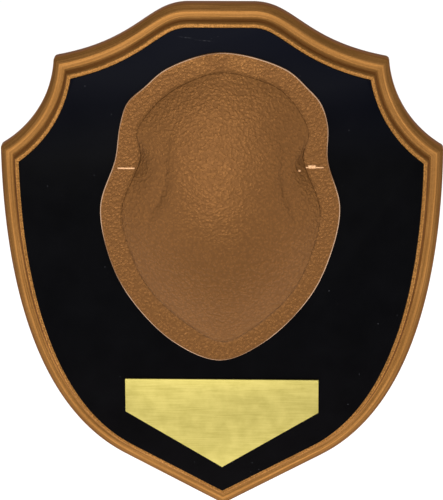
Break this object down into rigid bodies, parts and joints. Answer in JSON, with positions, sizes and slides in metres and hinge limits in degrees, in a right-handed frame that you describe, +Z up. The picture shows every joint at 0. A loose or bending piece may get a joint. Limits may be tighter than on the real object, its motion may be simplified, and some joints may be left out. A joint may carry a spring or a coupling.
{
  "type": "antler mounting plaque",
  "caption": "Shield-shaped wall plaque with a moulded copper-coloured edge, black face, domed skull cover with a flat flange and a blank pointed brass name plate.",
  "frame": {"origin": "middle of the flat back face of the board, which lies against the wall", "axes": "+X to the viewer's right as the plaque hangs, +Y out of the back into the wall, +Z up; the front looks along -Y"},
  "size_m": [0.254, 0.0393, 0.3026],
  "materials": {
    "copper_painted_wood": "metallic copper paint, satin",
    "black_laminate": "black, soft gloss",
    "grained_copper_cover": "leather grained, copper coloured, satin",
    "brushed_brass": "brushed, blank"
  },
  "bodies": {
    "root": {"plaque_board": "copper_painted_wood", "face_panel": "black_laminate", "skull_cover": "grained_copper_cover", "name_plate": "brushed_brass"}
  },
  "joints": []
}
